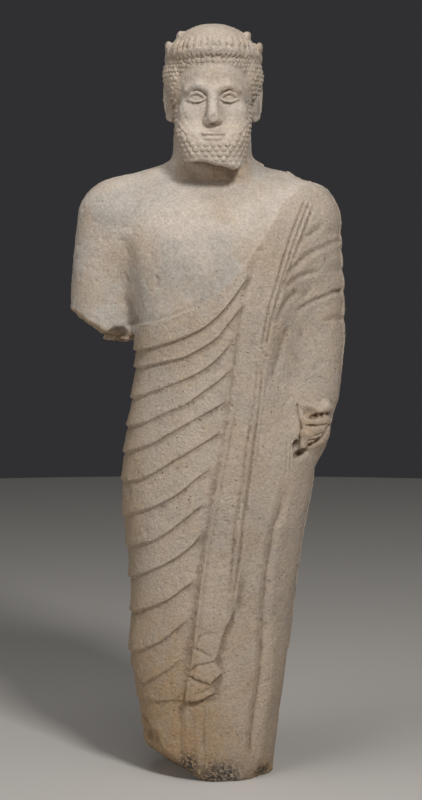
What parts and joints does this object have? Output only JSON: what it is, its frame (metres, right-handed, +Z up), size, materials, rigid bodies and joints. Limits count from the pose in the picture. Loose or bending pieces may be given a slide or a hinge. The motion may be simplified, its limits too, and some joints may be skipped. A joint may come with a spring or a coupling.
{
  "type": "limestone votary figure",
  "caption": "Life-size standing limestone figure of a bearded, wreathed man in a pleated mantle, one arm and the feet broken away.",
  "frame": {"origin": "centre of the bounding box in plan, on the flat underside that the figure stands on", "axes": "+Z up along the figure, the face looks along -Y, +X is towards the figure's own left arm"},
  "size_m": [0.545, 0.2852, 1.4982],
  "materials": {
    "limestone": "weathered chalky beige limestone, matte, finely pitted, with grey and ochre patina"
  },
  "bodies": {
    "root": {"votary_figure": "limestone"}
  },
  "joints": []
}
